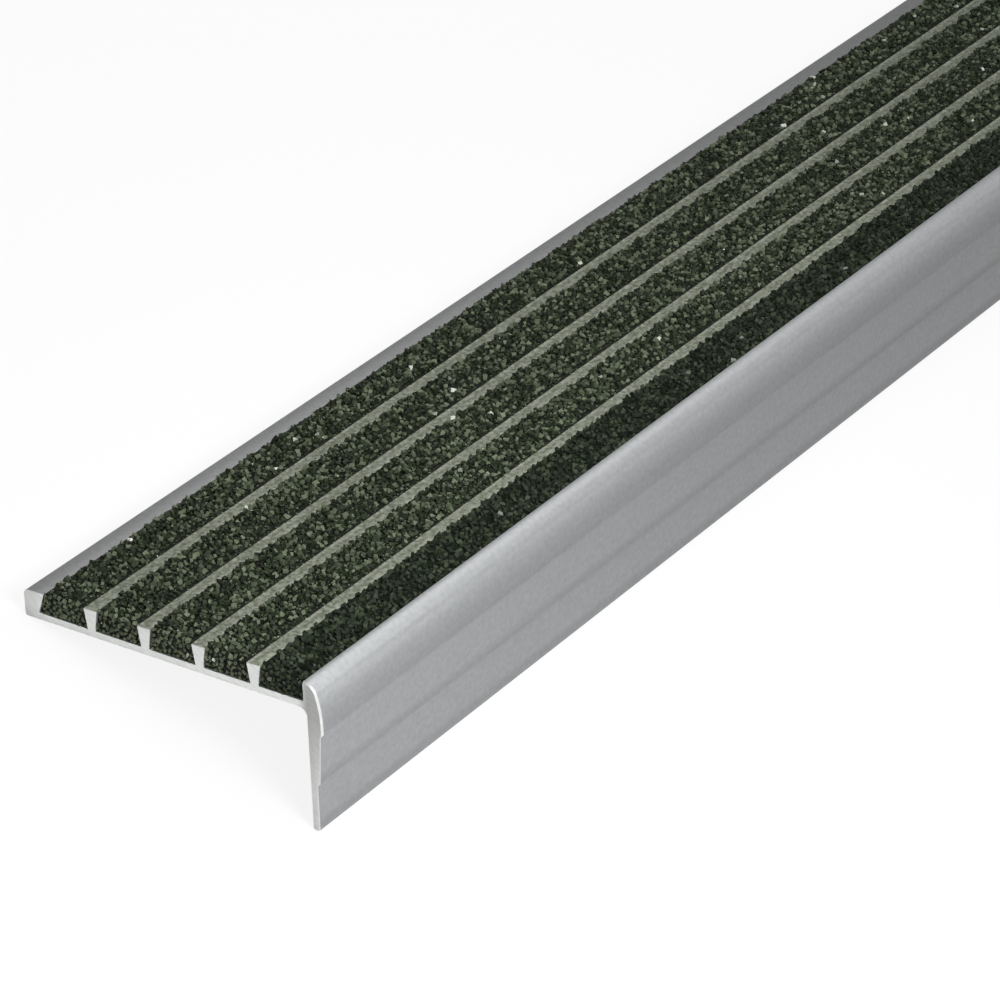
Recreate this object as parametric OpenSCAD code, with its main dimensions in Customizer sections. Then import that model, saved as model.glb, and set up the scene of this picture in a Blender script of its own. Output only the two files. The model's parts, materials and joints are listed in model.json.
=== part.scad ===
// Stair nosing: one extruded aluminium angle that caps the front edge of a step.
// Its tread carries dovetail ribs, and a strip of resin-bonded grit is cast into each channel between them.
// It lies as it would on a level floor, face up, on the tip of its skirt and the back edge of its tread.
// The origin is on that floor, under the middle of the stock. X runs along the length and -Y faces the front.

/* [Overall] */
// Length of the cut stock
length = 914.4; // [300:0.1:3600]
// Front of the nose to the back edge of the tread
depth = 76.2; // [60:0.1:120]
// Rib tops to the tip of the skirt
height = 34.9; // [30:0.1:60]

/* [Tread] */
// Rib tops to the underside that sits on the step
tread_t = 6.35; // [5:0.05:10]
// Thickness of the plate under the channels
plate_t = 1.6; // [1:0.1:2.4]
// Number of ribs between the lip and the back bar
rib_count = 4; // [2:1:6]
// Width of a rib at its top
rib_top_w = 3.45; // [2.4:0.05:4.5]
// Width of a rib where it meets the plate
rib_root_w = 2; // [1:0.05:2.4]
// Width of the back bar at its top, out to the back edge
bar_top_w = 5.4; // [4:0.1:8]
// Width of the back bar where it meets the plate
bar_root_w = 3.75; // [3:0.05:4]

/* [Nose] */
// Front of the nose to the wall of the front channel
lip_w = 4.4; // [4:0.1:7]
// How far the crest of the lip lies below the rib tops
lip_drop = 0.25; // [0:0.05:0.6]
// Radius of the gently bowed front of the nose
nose_face_r = 26; // [20:0.5:60]
// Radius of the rounded top edge of the nose
nose_edge_r = 3; // [2:0.1:4]
// Rib tops down to where the bowed front becomes plumb
nose_plumb = 10; // [8:0.1:11]
// Rib tops down to the lower edge of the nose
nose_drop = 11.6; // [11:0.1:14]

/* [Skirt] */
// Thickness of the skirt at its tip
tip_t = 1.65; // [1.2:0.05:3]
// How far the skirt steps back at the lower edge of each band
reveal = 0.65; // [0.3:0.05:1]
// How far the middle band leans back over its height
band_lean = 0.7; // [0:0.05:1.2]
// Height of the middle band
band_h = 11.2; // [8:0.1:14]

/* [Edges] */
// Fillet between the plate's underside and the back of the skirt
corner_r = 2; // [0.5:0.1:4]
// Radius of the top of the back edge
back_edge_r = 1.3; // [0.5:0.1:2]
// Radius of the corners that touch the floor
foot_r = 0.5; // [0.2:0.05:0.6]

/* [Abrasive strips] */
// How far a strip stands above the rib tops
strip_proud = 0.6; // [0.1:0.05:0.8]
// Width of the slope at each edge of a strip's crown
strip_slope = 0.4; // [0.2:0.1:1.5]
// How far the front strip stays below the crest of the lip
lip_clear = 0.3; // [0:0.05:0.8]

/* [Hidden] */
$fn = 96;

strip_count = rib_count + 1;

aluminium = [0.75, 0.76, 0.76];
grit = [0.16, 0.18, 0.13];

// Section coordinates: [from the front of the nose towards the back, up from the rib tops]
plate_top = -tread_t + plate_t;
plate_mid = -tread_t + plate_t / 2;
channel_w = (depth - lip_w - bar_top_w - rib_count * rib_top_w) / strip_count;

// Front faces of the skirt's middle and lower bands, and the back of the skirt
mid_front = reveal;
mid_front_low = mid_front + band_lean;
low_front = mid_front_low + reveal;
skirt_back = low_front + tip_t;
mid_drop = nose_drop + reveal + band_h;

// Centres of the nose's two arcs. The small arc stands a hair outside the wide one, so that they cross cleanly
// close to the line through both centres
arc_bite = 0.001;
face_centre = [nose_face_r, -nose_plumb];
centre_gap = nose_face_r - nose_edge_r + arc_bite;
edge_rise = nose_plumb - lip_drop - nose_edge_r;
edge_centre = [nose_face_r - sqrt(pow(centre_gap, 2) - pow(edge_rise, 2)), -lip_drop - nose_edge_r];
arcs_meet_z = edge_centre.y + nose_edge_r * edge_rise / centre_gap;

// Rest on the floor: both feet have the same radius, so the floor is parallel to the line between their centres
tip_foot = [skirt_back - foot_r, -height + foot_r];
back_foot = [depth - foot_r, -tread_t + foot_r];
tip_front = [low_front + foot_r, -height + foot_r];
back_edge = [depth - back_edge_r, -back_edge_r];
rest_tilt = atan2(back_foot.y - tip_foot.y, back_foot.x - tip_foot.x);
rest_rise = foot_r - tilted(back_foot).y;
front_reach = tilted(tip_front).x - foot_r;
back_reach = max(tilted(back_edge).x + back_edge_r, tilted(back_foot).x + foot_r);
rest_shift = -(front_reach + back_reach) / 2;

function strip_name(n) = str("abrasive_strip_", n);

// A section point turned from the step's level to the rest tilt
function tilted(p) = [p.x * cos(rest_tilt) + p.y * sin(rest_tilt), p.y * cos(rest_tilt) - p.x * sin(rest_tilt)];

// Middle of a rib, counted from the nose
function rib_mid(n) = lip_w + n * channel_w + (n - 0.5) * rib_top_w;

// Walls of a channel at its root and at its top, counted from the nose
function front_root(n) = n == 1 ? lip_w : rib_mid(n - 1) + rib_root_w / 2;
function front_top(n) = n == 1 ? lip_w : rib_mid(n - 1) + rib_top_w / 2;
function back_root(n) = n == strip_count ? depth - bar_root_w : rib_mid(n) - rib_root_w / 2;
function back_top(n) = n == strip_count ? depth - bar_top_w : rib_mid(n) - rib_top_w / 2;

module plate_section() {
    translate([lip_w / 2, -tread_t])
        square([depth - lip_w / 2 - bar_root_w / 2, plate_t]);
}

module rib_section(n) {
    translate([rib_mid(n), 0])
        polygon([
            [-rib_root_w / 2, plate_mid],
            [rib_root_w / 2, plate_mid],
            [rib_root_w / 2, plate_top],
            [rib_top_w / 2, 0],
            [-rib_top_w / 2, 0],
            [-rib_root_w / 2, plate_top]
        ]);
}

module back_bar_section() {
    polygon([
        [depth - bar_root_w, -tread_t],
        [back_foot.x, -tread_t],
        [depth, back_foot.y],
        [depth, back_edge.y],
        [back_edge.x, 0],
        [depth - bar_top_w, 0],
        [depth - bar_root_w, plate_top]
    ]);
    translate(back_foot) circle(foot_r);
    translate(back_edge) circle(back_edge_r);
}

// The nose is a block trimmed to a wide arc on its face and a small one on its top edge
module nose_section() {
    intersection() {
        polygon([
            [-lip_w, 0],
            [-lip_w, -nose_drop],
            [skirt_back, -nose_drop],
            [skirt_back, -tread_t],
            [lip_w, -tread_t],
            [lip_w, 0]
        ]);
        union() {
            intersection() {
                translate(face_centre) circle(nose_face_r);
                translate([-lip_w, -height]) square([depth, height + arcs_meet_z]);
            }
            translate(edge_centre) circle(nose_edge_r);
            translate([edge_centre.x, -height]) square([depth, height - lip_drop]);
            translate([0, -height]) square([depth, height - nose_plumb]);
        }
    }
}

// Two bands below the nose, each set back from the one above by a bevelled step
module skirt_section() {
    polygon([
        [0, -nose_plumb],
        [0, -nose_drop],
        [mid_front, -nose_drop - reveal],
        [mid_front_low, -mid_drop],
        [low_front, -mid_drop - reveal],
        [low_front, tip_front.y],
        [tip_front.x, -height],
        [tip_foot.x, -height],
        [skirt_back, tip_foot.y],
        [skirt_back, plate_mid],
        [skirt_back / 2, plate_mid],
        [skirt_back / 2, -nose_plumb]
    ]);
    translate(tip_front) circle(foot_r);
    translate(tip_foot) circle(foot_r);
}

module corner_fillet_section() {
    difference() {
        translate([skirt_back - tip_t / 2, -tread_t - corner_r])
            square([corner_r + tip_t / 2, corner_r + plate_t / 2]);
        translate([skirt_back + corner_r, -tread_t - corner_r]) circle(corner_r);
    }
}

module extrusion_section() {
    plate_section();
    for (n = [1:rib_count]) rib_section(n);
    back_bar_section();
    nose_section();
    skirt_section();
    corner_fillet_section();
}

// The strip fills its channel; the front one slopes down to stay clear of the lip
module strip_section(n) {
    crown_front = n == 1
        ? [[lip_w, -lip_drop - lip_clear]]
        : [[front_top(n) + strip_slope, strip_proud], [front_top(n), 0]];
    polygon(concat(
        [[front_root(n), plate_top], [back_root(n), plate_top], [back_top(n), 0]],
        [[back_top(n) - strip_slope, strip_proud]],
        crown_front
    ));
}

// Runs a section along the stock and lays it on the floor
module stock() {
    translate([0, rest_shift, rest_rise])
        rotate([-rest_tilt, 0, 0])
            rotate([90, 0, 90])
                linear_extrude(length, center = true) children();
}

module aluminium_extrusion() {
    color(aluminium) stock() extrusion_section();
}

module abrasive_strip(n) {
    color(grit) stock() strip_section(n);
}

aluminium_extrusion();
for (n = [1:strip_count])
    abrasive_strip(n);
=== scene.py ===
import json
from math import asin, atan2, ceil, degrees, radians

import bpy
from mathutils import Euler, Matrix, Vector


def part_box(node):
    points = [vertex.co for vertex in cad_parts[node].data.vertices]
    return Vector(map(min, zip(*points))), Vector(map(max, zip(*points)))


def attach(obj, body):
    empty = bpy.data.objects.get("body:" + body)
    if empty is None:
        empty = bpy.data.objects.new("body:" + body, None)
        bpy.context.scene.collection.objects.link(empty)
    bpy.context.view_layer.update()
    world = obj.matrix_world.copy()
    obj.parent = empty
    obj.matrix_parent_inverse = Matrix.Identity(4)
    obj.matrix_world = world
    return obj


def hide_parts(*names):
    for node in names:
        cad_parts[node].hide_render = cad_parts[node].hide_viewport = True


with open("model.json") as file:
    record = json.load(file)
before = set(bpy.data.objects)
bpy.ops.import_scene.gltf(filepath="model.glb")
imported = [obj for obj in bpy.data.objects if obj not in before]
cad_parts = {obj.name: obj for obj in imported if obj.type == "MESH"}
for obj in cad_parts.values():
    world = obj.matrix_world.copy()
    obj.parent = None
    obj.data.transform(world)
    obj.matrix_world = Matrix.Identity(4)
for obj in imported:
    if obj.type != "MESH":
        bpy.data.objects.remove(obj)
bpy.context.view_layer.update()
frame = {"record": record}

# Aluminium angle: the body of the nosing, with its ribs, nose and skirt in one section. It is extruded
# through a die, left in its mill finish with fine lines along its length, and sawn square at both ends.
# The sizes are in metres, in the section: y from the front of the nose, z from the tops of the ribs.
mm = 0.001
depth = 76.2 * mm
height = 34.9 * mm
tread_t = 6.35 * mm
plate_t = 1.6 * mm
rib_count = 4
rib_top_w = 3.45 * mm
rib_root_w = 2 * mm
bar_top_w = 5.4 * mm
bar_root_w = 3.75 * mm
lip_w = 4.4 * mm
lip_drop = 0.25 * mm
nose_face_r = 26 * mm
nose_edge_r = 3 * mm
nose_plumb = 10 * mm
nose_drop = 11.6 * mm
tip_t = 1.65 * mm
reveal = 0.65 * mm
band_lean = 0.7 * mm
band_h = 11.2 * mm
corner_r = 2 * mm
back_edge_r = 1.3 * mm
foot_r = 0.5 * mm

strip_count = rib_count + 1
channel_w = (depth - lip_w - bar_top_w - rib_count * rib_top_w) / strip_count
plate_top = plate_t - tread_t
mid_front = reveal
mid_front_low = mid_front + band_lean
low_front = mid_front_low + reveal
skirt_back = low_front + tip_t
mid_drop = nose_drop + reveal + band_h


def rib_mid(n):
    return lip_w + n * channel_w + (n - 0.5) * rib_top_w


# The part lies tilted on the floor, so its seats on the step say where the section goes
seats = {mount["name"]: mount for mount in frame["record"]["mounts"]}
tread_up = -Vector(seats["tread_seat"]["axis"])
tread_back = Vector(seats["riser_seat"]["axis"])
rib_level = tread_up.dot(Vector(seats["tread_seat"]["pos_m"])) + tread_t
nose_front = tread_back.dot(Vector(seats["riser_seat"]["pos_m"])) - skirt_back
near_corner, far_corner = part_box("aluminium_extrusion")
length = far_corner.x - near_corner.x
section_corner = tread_up * rib_level + tread_back * nose_front
section_corner.x = near_corner.x
tread_tilt = atan2(tread_up.y, tread_up.z)
on_floor = Matrix.Translation(section_corner) @ Matrix.Rotation(-tread_tilt, 4, "X")

arc_chord = 0.25 * mm
fewest_arc_steps = 6
weld_gap = 0.001 * mm


def draw_section(name, start, stretches):
    """Draws a closed outline at the near end: (y, z) runs straight to that corner, and (y, z, sweep) turns
    about that centre by so many degrees."""
    bpy.ops.object.select_all(action="DESELECT")
    bpy.ops.mesh.primitive_plane_add(size=mm)
    piece = bpy.context.object
    piece.name = name
    bpy.ops.object.mode_set(mode="EDIT")
    bpy.ops.mesh.select_mode(type="VERT")
    bpy.ops.mesh.merge(type="CENTER")
    pen = Vector((0, *start))
    bpy.ops.transform.translate(value=pen)
    for stretch in stretches:
        point = Vector((0, *stretch[:2]))
        if len(stretch) == 2:
            bpy.ops.mesh.extrude_region_move(TRANSFORM_OT_translate={"value": point - pen})
            pen = point
        else:
            sweep = radians(stretch[2])
            arc = abs(sweep) * (pen - point).length
            steps = max(fewest_arc_steps, ceil(arc / arc_chord))
            bpy.ops.mesh.spin(steps=steps, angle=-sweep, center=point, axis=(1, 0, 0))
            pen = point + Matrix.Rotation(sweep, 3, "X") @ (pen - point)
    bpy.ops.mesh.select_all(action="SELECT")
    bpy.ops.mesh.remove_doubles(threshold=weld_gap)
    return piece


def select_edges(piece, wanted):
    """Selects the edges whose two ends, in the section's own frame, answer to wanted."""
    bpy.ops.mesh.select_mode(type="EDGE")
    bpy.ops.mesh.select_all(action="DESELECT")
    bpy.ops.object.mode_set(mode="OBJECT")
    points = piece.data.vertices
    for edge in piece.data.edges:
        edge.select = wanted(*(points[v].co for v in edge.vertices))
    bpy.ops.object.mode_set(mode="EDIT")


def lay_on_floor(piece):
    piece.matrix_world = on_floor
    bpy.ops.object.transform_apply(location=True, rotation=True, scale=True)


edge_rise = nose_plumb - lip_drop - nose_edge_r
edge_turn = degrees(asin(edge_rise / (nose_face_r - nose_edge_r)))
face_centre = Vector((0, nose_face_r, -nose_plumb))
arc_gap = Vector((0, nose_face_r - nose_edge_r, 0))
edge_centre = face_centre - Matrix.Rotation(radians(-edge_turn), 3, "X") @ arc_gap
nose_and_skirt = [
    (edge_centre.y, -lip_drop),
    (edge_centre.y, edge_centre.z, 90 - edge_turn),
    (face_centre.y, face_centre.z, edge_turn),
    (0, -nose_drop),
    (mid_front, -nose_drop - reveal),
    (mid_front_low, -mid_drop),
    (low_front, -mid_drop - reveal),
    (low_front, -height + foot_r),
    (low_front + foot_r, -height + foot_r, 90),
    (skirt_back - foot_r, -height),
    (skirt_back - foot_r, -height + foot_r, 90),
    (skirt_back, -tread_t - corner_r),
    (skirt_back + corner_r, -tread_t - corner_r, -90),
]
back_bar = [
    (depth - foot_r, -tread_t),
    (depth - foot_r, -tread_t + foot_r, 90),
    (depth, -back_edge_r),
    (depth - back_edge_r, -back_edge_r, 90),
    (depth - bar_top_w, 0),
    (depth - bar_root_w, plate_top),
]
ribs = []
for n in range(rib_count, 0, -1):
    ribs += [
        (rib_mid(n) + rib_root_w / 2, plate_top),
        (rib_mid(n) + rib_top_w / 2, 0),
        (rib_mid(n) - rib_top_w / 2, 0),
        (rib_mid(n) - rib_root_w / 2, plate_top),
    ]
lip_corner = (lip_w, -lip_drop)
front_wall = [(lip_w, plate_top), lip_corner]
angle = draw_section("aluminium_angle", lip_corner, nose_and_skirt + back_bar + ribs + front_wall)
bpy.ops.mesh.edge_face_add()
bpy.ops.mesh.extrude_region_move(TRANSFORM_OT_translate={"value": (length, 0, 0)})
bpy.ops.mesh.select_all(action="SELECT")
bpy.ops.mesh.normals_make_consistent(inside=False)

# The saw's burr is filed off the nose, which leaves a bright bevel round its outer edge at both ends
filed_edge = 0.4 * mm
hair = 0.01 * mm


def round_the_nose(a, b):
    middle = (a + b) / 2
    on_crest = middle.z > -lip_drop - nose_edge_r and middle.y < lip_w - hair
    on_front = middle.y < skirt_back / 2 and min(a.z, b.z) > -nose_drop - hair
    return a.x == b.x and (on_crest or on_front)


select_edges(angle, round_the_nose)
bpy.ops.mesh.bevel(offset=filed_edge, segments=1, affect="EDGES")
bpy.ops.object.mode_set(mode="OBJECT")

# Every other sharp edge has the small round that the die and a wipe with a file leave
eased = angle.modifiers.new("eased_edges", "BEVEL")
eased.width = 0.1 * mm
eased.segments = 2
eased.limit_method = "ANGLE"
eased.angle_limit = radians(47)
eased.use_clamp_overlap = False
bpy.ops.object.modifier_apply(modifier=eased.name)
lay_on_floor(angle)
bpy.ops.object.shade_smooth_by_angle(angle=radians(35))


def add_node(tree, kind, inputs, **settings):
    """Adds a node with its settings, and links each input to a socket or sets it to a value."""
    node = tree.nodes.new(kind)
    for setting, value in settings.items():
        setattr(node, setting, value)
    for name, value in inputs.items():
        if isinstance(value, bpy.types.NodeSocket):
            tree.links.new(value, node.inputs[name])
        else:
            node.inputs[name].default_value = value
    return node


def start_finish(name, constants):
    """Starts a material. Gives it, its nodes, its shader's inputs and a point's place on the piece."""
    finish = bpy.data.materials.new(name)
    finish.use_nodes = True
    tree = finish.node_tree
    shader = tree.nodes["Principled BSDF"].inputs
    for socket, value in constants.items():
        shader[socket].default_value = value
    place = add_node(tree, "ShaderNodeTexCoord", {})
    return finish, tree, shader, place.outputs["Object"]


def roughen(tree, shader, grain, sheen, bump, groove):
    """Takes the roughness, between the two values of sheen, and the bump from one grain."""
    smooth, rough = sheen
    marks = grain.outputs["Fac"]
    roughness = add_node(
        tree, "ShaderNodeMapRange", {"Value": marks, "To Min": smooth, "To Max": rough}
    )
    relief = add_node(
        tree, "ShaderNodeBump", {"Height": marks, "Strength": bump, "Distance": groove}
    )
    tree.links.new(roughness.outputs["Result"], shader["Roughness"])
    tree.links.new(relief.outputs["Normal"], shader["Normal"])


# As it leaves the die: lines along the length under a faint bloom. Its tone is also painted by height in the
# section:
# painted shade above the foot and each step of the skirt, a painted highlight round the nose and along the
# lip's edge, and a little darker on the bar top.
mill, tree, shader, place = start_finish("mill_aluminium", {"Metallic": 1})
along_die = add_node(tree, "ShaderNodeMapping", {"Vector": place, "Scale": (8, 1800, 1800)})
die_lines = add_node(
    tree, "ShaderNodeTexNoise", {"Vector": along_die.outputs["Vector"], "Scale": 1, "Detail": 3}
)
bloom = add_node(tree, "ShaderNodeTexNoise", {"Vector": place, "Scale": 900, "Detail": 2})
tone = add_node(
    tree,
    "ShaderNodeMix",
    {"Factor": bloom.outputs["Fac"], "A": (0.396, 0.403, 0.409, 1), "B": (0.546, 0.546, 0.546, 1)},
    data_type="RGBA",
)
up_section = add_node(tree, "ShaderNodeVectorMath", {0: place, 1: tread_up}, operation="DOT_PRODUCT")
from_foot = add_node(
    tree,
    "ShaderNodeMapRange",
    {"Value": up_section.outputs["Value"], "From Min": rib_level - height, "From Max": rib_level},
)


def cool_grey(shine):
    return (0.985 * shine, shine, 1.01 * shine, 1)


# The ramp paints light and shade by height: painted shade above the foot and each step, and a painted
# highlight round the nose and the lip's edge.
plain = 0.707
painted_shade = plain - 0.11
on_bar = 0.677
painted_light_by_height = add_node(tree, "ShaderNodeValToRGB", {"Fac": from_foot.outputs["Result"]})
painted_light_by_height.color_ramp.elements[0].color = cool_grey(plain)
painted_light_by_height.color_ramp.elements[1].color = (on_bar, on_bar, on_bar, 1)
for drop, shine in (
    (height - 1.4 * mm, painted_shade),
    (height - 3.5 * mm, plain),
    (mid_drop + 1.5 * mm, plain),
    (mid_drop, plain - 0.04),
    (mid_drop - 0.6 * mm, painted_shade),
    (mid_drop - 3 * mm, plain),
    (nose_drop, plain),
    (nose_drop - 0.8 * mm, plain - 0.08),
    (8 * mm, 0.71),
    (6 * mm, 0.808),
    (4.5 * mm, 0.885),
    (3.4 * mm, 0.965),
    (1.8 * mm, 0.9),
    (0.6 * mm, 0.825),
    (lip_drop + 0.12 * mm, 0.89),
    (lip_drop, 0.94),
    (lip_drop / 2, on_bar),
):
    stop = painted_light_by_height.color_ramp.elements.new(1 - drop / height)
    stop.color = cool_grey(shine)
tone_with_painted_light = add_node(
    tree,
    "ShaderNodeMix",
    {"Factor": 1, "A": tone.outputs["Result"], "B": painted_light_by_height.outputs["Color"]},
    data_type="RGBA",
    blend_type="MULTIPLY",
)
tree.links.new(tone_with_painted_light.outputs["Result"], shader["Base Color"])
roughen(tree, shader, die_lines, sheen=(0.5, 0.6), bump=0.25, groove=0.02 * mm)

# Rib tops: smeared with resin when the strips are filled, and brighter towards their back edges
land, tree, shader, place = start_finish("rubbed_rib_top", {"Metallic": 1})
smear = add_node(tree, "ShaderNodeTexNoise", {"Vector": place, "Scale": 1100, "Detail": 3})
patchy = add_node(
    tree, "ShaderNodeMapRange", {"Value": smear.outputs["Fac"], "From Min": 0.37, "From Max": 0.63}
)
tone = add_node(
    tree,
    "ShaderNodeMix",
    {"Factor": patchy.outputs["Result"], "A": (0.19, 0.212, 0.152, 1), "B": (0.37, 0.392, 0.33, 1)},
    data_type="RGBA",
)
depth_in = add_node(tree, "ShaderNodeVectorMath", {0: place, 1: tread_back}, operation="DOT_PRODUCT")
across_land = add_node(
    tree,
    "ShaderNodeMath",
    {0: depth_in.outputs["Value"], 1: nose_front + rib_mid(1.5), 2: nose_front + rib_mid(0.5)},
    operation="WRAP",
)
back_edge = add_node(
    tree,
    "ShaderNodeMapRange",
    {
        "Value": across_land.outputs["Value"],
        "From Min": nose_front + rib_mid(1) + 0.3 * mm,
        "From Max": nose_front + rib_mid(1) + 1.3 * mm,
        "To Min": 1,
        "To Max": 1.55,
    },
)
brightened = add_node(
    tree,
    "ShaderNodeVectorMath",
    {0: tone.outputs["Result"], "Scale": back_edge.outputs["Result"]},
    operation="SCALE",
)
tree.links.new(brightened.outputs["Vector"], shader["Base Color"])
roughen(tree, shader, smear, sheen=(0.45, 0.65), bump=0.3, groove=0.03 * mm)

# Cut ends: fine saw marks, duller on the nose and towards the back edge than on the ribs and the plate
sawn, tree, shader, place = start_finish("sawn_aluminium", {"Metallic": 1})
across_cut = add_node(tree, "ShaderNodeMapping", {"Vector": place, "Scale": (400, 400, 2400)})
saw_marks = add_node(
    tree, "ShaderNodeTexNoise", {"Vector": across_cut.outputs["Vector"], "Scale": 1, "Detail": 3}
)
tone = add_node(
    tree,
    "ShaderNodeMix",
    {"Factor": saw_marks.outputs["Fac"], "A": (0.53, 0.54, 0.53, 1), "B": (0.84, 0.85, 0.83, 1)},
    data_type="RGBA",
)
up_section = add_node(tree, "ShaderNodeVectorMath", {0: place, 1: tread_up}, operation="DOT_PRODUCT")
nose_dullness = add_node(
    tree,
    "ShaderNodeMapRange",
    {
        "Value": up_section.outputs["Value"],
        "From Min": rib_level - 8 * mm,
        "From Max": rib_level - 26 * mm,
        "To Min": 0.51,
        "To Max": 0.82,
    },
)
depth_in = add_node(tree, "ShaderNodeVectorMath", {0: place, 1: tread_back}, operation="DOT_PRODUCT")
bar_dullness = add_node(
    tree,
    "ShaderNodeMapRange",
    {
        "Value": depth_in.outputs["Value"],
        "From Min": nose_front + depth - bar_top_w,
        "From Max": nose_front + depth,
        "To Min": 1,
        "To Max": 0.8,
    },
)
dullness = add_node(
    tree,
    "ShaderNodeMapRange",
    {
        "Value": depth_in.outputs["Value"],
        "From Min": nose_front + 3.5 * mm,
        "From Max": nose_front + 6 * mm,
        "To Min": nose_dullness.outputs["Result"],
        "To Max": bar_dullness.outputs["Result"],
    },
)
dulled = add_node(
    tree,
    "ShaderNodeVectorMath",
    {0: tone.outputs["Result"], "Scale": dullness.outputs["Result"]},
    operation="SCALE",
)
tree.links.new(dulled.outputs["Vector"], shader["Base Color"])
roughen(tree, shader, saw_marks, sheen=(0.3, 0.5), bump=0.4, groove=0.04 * mm)

# Filed edges: bright bare metal with short strokes
filed, tree, shader, place = start_finish("filed_aluminium", {"Metallic": 1})
strokes = add_node(tree, "ShaderNodeTexNoise", {"Vector": place, "Scale": 2500, "Detail": 2})
tone = add_node(
    tree,
    "ShaderNodeMix",
    {"Factor": strokes.outputs["Fac"], "A": (0.63, 0.64, 0.63, 1), "B": (0.77, 0.77, 0.76, 1)},
    data_type="RGBA",
)
tree.links.new(tone.outputs["Result"], shader["Base Color"])
roughen(tree, shader, strokes, sheen=(0.5, 0.65), bump=0.3, groove=0.02 * mm)

# A cut end faces along X, and the edges round it stand at a slant. Those at the front are filed.
finishes = [mill, land, sawn, filed]
for finish in finishes:
    angle.data.materials.append(finish)
off_floor = on_floor.inverted()
edge_slant = 0.3
end_slant = 0.95
land_skin = 0.06 * mm
for face in angle.data.polygons:
    middle = off_floor @ face.center
    slant = abs(face.normal.x)
    front = lip_w if middle.z > -nose_drop else low_front + foot_r
    if edge_slant < slant < end_slant and middle.y < front:
        face.material_index = finishes.index(filed)
    elif slant > edge_slant:
        face.material_index = finishes.index(sawn)
    elif middle.z > -land_skin and lip_w < middle.y < depth - bar_top_w:
        face.material_index = finishes.index(land)

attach(angle, "root")
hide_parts("aluminium_extrusion")

# Abrasive strips: crushed grit bound in dark resin, trowelled into the channels between the ribs and left to
# set. The stones stand proud of the ribs, and some of them lap over a rib's edge.
strip_proud = 0.6 * mm
bare_edge = 0.7 * mm
bar_gap = 0.5 * mm
lip_clear = 0.3 * mm
bed_drop = 0.45 * mm
end_gap = 0.6 * mm
stone_size = 1.18 * mm
stone_gap = 0.95 * mm
stone_taper = (0.55, 0.7, 1)
stone_lean = 0.15 * stone_size
tries_per_stone = 8
smallest_stone = 0.55
largest_stone = 1.15
cut_stone_size = 0.8
darkest_stone = 0.1
darkest_cut_stone = 0.74
nearly_square = 0.98

# One stone, a block tapered to a lopsided top
bpy.ops.object.select_all(action="DESELECT")
bpy.ops.mesh.primitive_cube_add(size=stone_size)
stone = bpy.context.object
stone.name = "grit_stone"
bpy.ops.object.mode_set(mode="EDIT")
bpy.ops.mesh.select_mode(type="FACE")
bpy.ops.mesh.select_all(action="DESELECT")
bpy.ops.object.mode_set(mode="OBJECT")
for face in stone.data.polygons:
    face.select = face.normal.z > nearly_square
bpy.ops.object.mode_set(mode="EDIT")
bpy.ops.transform.resize(value=stone_taper)
bpy.ops.transform.translate(value=(stone_lean, 0, 0))
bpy.ops.object.mode_set(mode="OBJECT")

# Stones lie all over a strip's crown and its two ends, where the saw has cut them smaller; the stones on the
# ends are paler too
scatter = bpy.data.node_groups.new("scatter_stones", "GeometryNodeTree")
scatter.interface.new_socket("Geometry", in_out="INPUT", socket_type="NodeSocketGeometry")
scatter.interface.new_socket("Geometry", in_out="OUTPUT", socket_type="NodeSocketGeometry")
bare_strip = add_node(scatter, "NodeGroupInput", {})
facing = add_node(scatter, "GeometryNodeInputNormal", {})
upward = add_node(
    scatter, "ShaderNodeVectorMath", {0: facing.outputs["Normal"], 1: tread_up}, operation="DOT_PRODUCT"
)
endways = add_node(scatter, "ShaderNodeSeparateXYZ", {"Vector": facing.outputs["Normal"]})
either_end = add_node(scatter, "ShaderNodeMath", {0: endways.outputs["X"]}, operation="ABSOLUTE")
open_side = add_node(
    scatter,
    "ShaderNodeMath",
    {0: upward.outputs["Value"], 1: either_end.outputs["Value"]},
    operation="MAXIMUM",
)
stony = add_node(
    scatter, "ShaderNodeMath", {0: open_side.outputs["Value"], 1: nearly_square}, operation="GREATER_THAN"
)
spread = add_node(
    scatter,
    "GeometryNodeDistributePointsOnFaces",
    {
        "Mesh": bare_strip.outputs["Geometry"],
        "Selection": stony.outputs["Value"],
        "Distance Min": stone_gap,
        "Density Max": tries_per_stone / stone_gap**2,
    },
    distribute_method="POISSON",
)
turn = add_node(
    scatter, "FunctionNodeRandomValue", {"Max": 3 * (radians(360),)}, data_type="FLOAT_VECTOR"
)
stretch = add_node(
    scatter,
    "FunctionNodeRandomValue",
    {"Min": 3 * (smallest_stone,), "Max": 3 * (largest_stone,), "Seed": 1},
    data_type="FLOAT_VECTOR",
)
outward = add_node(scatter, "ShaderNodeVectorMath", {0: spread.outputs["Normal"]}, operation="ABSOLUTE")
at_end = add_node(scatter, "ShaderNodeSeparateXYZ", {"Vector": outward.outputs["Vector"]})
trim = add_node(
    scatter, "ShaderNodeMapRange", {"Value": at_end.outputs["X"], "To Min": 1, "To Max": cut_stone_size}
)
trimmed = add_node(
    scatter,
    "ShaderNodeVectorMath",
    {0: stretch.outputs["Value"], "Scale": trim.outputs["Result"]},
    operation="SCALE",
)
stone_shape = add_node(scatter, "GeometryNodeObjectInfo", {"Object": stone})
strew = add_node(
    scatter,
    "GeometryNodeInstanceOnPoints",
    {
        "Points": spread.outputs["Points"],
        "Instance": stone_shape.outputs["Geometry"],
        "Rotation": turn.outputs["Value"],
        "Scale": trimmed.outputs["Vector"],
    },
)
darkest = add_node(
    scatter,
    "ShaderNodeMapRange",
    {"Value": at_end.outputs["X"], "To Min": darkest_stone, "To Max": darkest_cut_stone},
)
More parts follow.
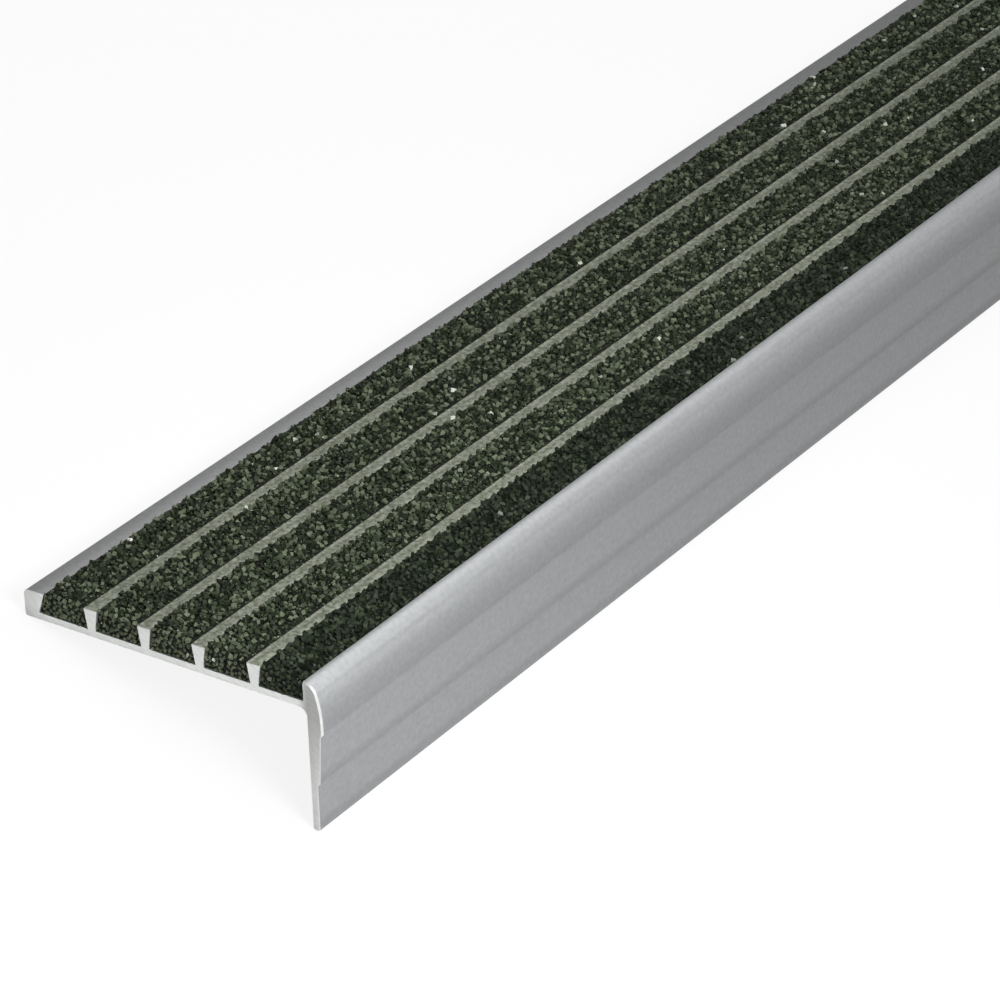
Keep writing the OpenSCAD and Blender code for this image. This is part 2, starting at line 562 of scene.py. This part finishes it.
lot = add_node(
    scatter, "FunctionNodeRandomValue", {"Min": darkest.outputs["Result"], "Seed": 2}, data_type="FLOAT"
)
mark = add_node(
    scatter,
    "GeometryNodeStoreNamedAttribute",
    {"Geometry": strew.outputs["Instances"], "Name": "stone_tone", "Value": lot.outputs["Value"]},
    data_type="FLOAT",
    domain="INSTANCE",
)
loose = add_node(scatter, "GeometryNodeRealizeInstances", {"Geometry": mark.outputs["Geometry"]})
bound = add_node(scatter, "GeometryNodeJoinGeometry", {"Geometry": bare_strip.outputs["Geometry"]})
scatter.links.new(loose.outputs["Geometry"], bound.inputs["Geometry"])
add_node(scatter, "NodeGroupOutput", {"Geometry": bound.outputs["Geometry"]})

sand_size = 0.6 * mm
dull_up_to = 0.6
pale_up_to = 0.996


def add_grit(name, resin, dull, pale, bright):
    """Stones from dull to pale with a rare bright one, and sand between them, in resin. The bright colour is
    a painted glint on the rarest stones and specks.
    """
    finish, tree, shader, place = start_finish(name, {"Specular IOR Level": 0.12})
    sand = add_node(tree, "ShaderNodeTexVoronoi", {"Vector": place, "Scale": 1 / sand_size})
    sand_lot = add_node(tree, "ShaderNodeSeparateXYZ", {"Vector": sand.outputs["Color"]})
    speck = add_node(
        tree, "ShaderNodeMapRange", {"Value": sand.outputs["Distance"], "From Min": 0.55, "From Max": 0.3}
    )
    speck_tone = add_node(
        tree,
        "ShaderNodeMath",
        {0: speck.outputs["Result"], 1: sand_lot.outputs["X"]},
        operation="MULTIPLY",
    )
    stone_tone = add_node(tree, "ShaderNodeAttribute", {}, attribute_name="stone_tone")
    either = add_node(
        tree,
        "ShaderNodeMath",
        {0: speck_tone.outputs["Value"], 1: stone_tone.outputs["Fac"]},
        operation="MAXIMUM",
    )
    mix = add_node(tree, "ShaderNodeValToRGB", {"Fac": either.outputs["Value"]})
    mix.color_ramp.elements[0].color = (*resin, 1)
    mix.color_ramp.elements[1].color = (*bright, 1)
    for share, colour in ((dull_up_to, dull), (pale_up_to, pale)):
        mix.color_ramp.elements.new(share).color = (*colour, 1)
    tree.links.new(mix.outputs["Color"], shader["Base Color"])
    dust = add_node(tree, "ShaderNodeTexNoise", {"Vector": place, "Scale": 4000})
    roughen(tree, shader, dust, sheen=(0.35, 0.7), bump=0.4, groove=0.05 * mm)
    return finish


# The bright colour of each grit is a painted glint, given to its rarest stones and specks.
tread_grit = add_grit(
    "grit",
    resin=(0.003, 0.004, 0.002),
    dull=(0.020, 0.0285, 0.0138),
    pale=(0.109, 0.129, 0.083),
    bright=(0.62, 0.63, 0.57),
)
front_grit = add_grit(
    "front_grit",
    resin=(0.003, 0.005, 0.003),
    dull=(0.010, 0.015, 0.007),
    pale=(0.036, 0.046, 0.027),
    bright=(0.25, 0.26, 0.23),
)

# The faces are sorted by their place, so that the stones fall the same way each time
bed = strip_proud - bed_drop
for n in range(1, strip_count + 1):
    front_root = lip_w if n == 1 else rib_mid(n - 1) + rib_root_w / 2
    front_top = lip_w if n == 1 else rib_mid(n - 1) + rib_top_w / 2
    back_root = depth - bar_root_w if n == strip_count else rib_mid(n) - rib_root_w / 2
    back_top = depth - bar_top_w if n == strip_count else rib_mid(n) - rib_top_w / 2
    back_gap = bar_gap if n == strip_count else 0
    outline = [(back_root, plate_top), (back_top, 0), (back_top - back_gap, bed)]
    if n == 1:
        outline += [(lip_w, -lip_drop - lip_clear - bed_drop)]
    else:
        outline += [(front_top + bare_edge, bed), (front_top, 0)]
    outline += [(front_root, plate_top)]
    strip = draw_section(f"grit_strip_{n}", (front_root, plate_top), outline)
    bpy.ops.mesh.edge_face_add()
    bpy.ops.mesh.extrude_region_move(TRANSFORM_OT_translate={"value": (length - 2 * end_gap, 0, 0)})
    bpy.ops.mesh.select_all(action="SELECT")
    bpy.ops.transform.translate(value=(end_gap, 0, 0))
    bpy.ops.mesh.normals_make_consistent(inside=False)
    bpy.ops.mesh.sort_elements(type="CURSOR_DISTANCE", elements={"FACE"})
    bpy.ops.object.mode_set(mode="OBJECT")
    lay_on_floor(strip)
    stones = strip.modifiers.new("stones", "NODES")
    stones.node_group = scatter
    spread.inputs["Seed"].default_value = n
    bpy.ops.object.modifier_apply(modifier=stones.name)
    strip.data.materials.clear()
    strip.data.materials.append(front_grit if n == 1 else tread_grit)
    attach(strip, "root")
    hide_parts(f"abrasive_strip_{n}")
bpy.data.node_groups.remove(scatter)
bpy.ops.object.select_all(action="DESELECT")
stone.select_set(True)
bpy.ops.object.delete()

# Studio: white paper on a level table, which keeps the part's own soft shadow. Soft boxes stand round the
# part, the stronger ones by its near end, in an even grey surround.
paper_white = 0.65
seen_white = 0.88
mirrored_white = 0.2
surround = 0.35
bpy.ops.object.select_all(action="DESELECT")
bpy.ops.mesh.primitive_plane_add(size=8)
floor = bpy.context.object
floor.name = "floor"
paper = bpy.data.materials.new("white_paper")
paper.use_nodes = True
tree = paper.node_tree
shader = tree.nodes["Principled BSDF"]
shader.inputs["Base Color"].default_value = (paper_white, paper_white, paper_white, 1)
shader.inputs["Roughness"].default_value = 0.9
rays = add_node(tree, "ShaderNodeLightPath", {})
mirrored = add_node(
    tree,
    "ShaderNodeMath",
    {0: rays.outputs["Is Glossy Ray"], 1: rays.outputs["Is Transmission Ray"]},
    operation="MAXIMUM",
)
mirrored_share = add_node(
    tree, "ShaderNodeMath", {0: mirrored.outputs["Value"], 1: mirrored_white}, operation="MULTIPLY"
)
share = add_node(
    tree,
    "ShaderNodeMath",
    {0: rays.outputs["Is Camera Ray"], 1: seen_white, 2: mirrored_share.outputs["Value"]},
    operation="MULTIPLY_ADD",
)
glow = add_node(tree, "ShaderNodeEmission", {})
blend = add_node(
    tree,
    "ShaderNodeMixShader",
    {"Fac": share.outputs["Value"], 1: shader.outputs["BSDF"], 2: glow.outputs["Emission"]},
)
tree.links.new(blend.outputs["Shader"], tree.nodes["Material Output"].inputs["Surface"])
floor.data.materials.append(paper)

world = bpy.context.scene.world or bpy.data.worlds.new("studio")
bpy.context.scene.world = world
world.use_nodes = True
world.node_tree.nodes["Background"].inputs["Color"].default_value = (surround, surround, surround, 1)


def add_soft_box(name, stand, lit_spot, size, power):
    bpy.ops.object.light_add(type="AREA")
    box = bpy.context.object
    box.name = name
    box.data.shape = "DISK"
    box.data.size = size
    box.data.energy = power
    box.visible_camera = False
    turn = (Vector(stand) - Vector(lit_spot)).to_track_quat("Z", "Y").to_matrix().to_4x4()
    box.matrix_world = Matrix.Translation(stand) @ turn


near_end = (-0.42, 0, 0.02)
far_end = (0.42, 0, 0.02)
before_near_end = (-0.45, -0.12, 0)
add_soft_box("front_light", (-0.02, -0.5, 0.36), near_end, 0.35, 0.38)
add_soft_box("far_light", (0.7, -0.5, 0.38), far_end, 0.35, 0.62)
add_soft_box("over_light", (-0.12, 0, 0.36), near_end, 0.3, 0.38)
add_soft_box("back_light", (-0.3, 0.15, 0.5), near_end, 0.3, 1.01)
add_soft_box("floor_light", (-0.5, -0.2, 0.25), before_near_end, 0.15, 1.35)
add_soft_box("end_light", (-0.8, -0.07, 0.35), near_end, 0.25, 0.15)
add_soft_box("far_end_light", (0.85, -0.05, 0.4), far_end, 0.25, 0.8)

camera_place = Vector((-637.96, -498.24, 483.06)) * mm
camera_turn = Euler((radians(61.31), radians(1.815), radians(-55.636)))
bpy.ops.object.camera_add()
camera = bpy.context.object
camera.data.sensor_width = 36
camera.data.lens = 170.35
camera.matrix_world = on_floor @ Matrix.LocRotScale(camera_place, camera_turn, None)
bpy.context.scene.camera = camera
bpy.context.scene.view_settings.view_transform = "Standard"
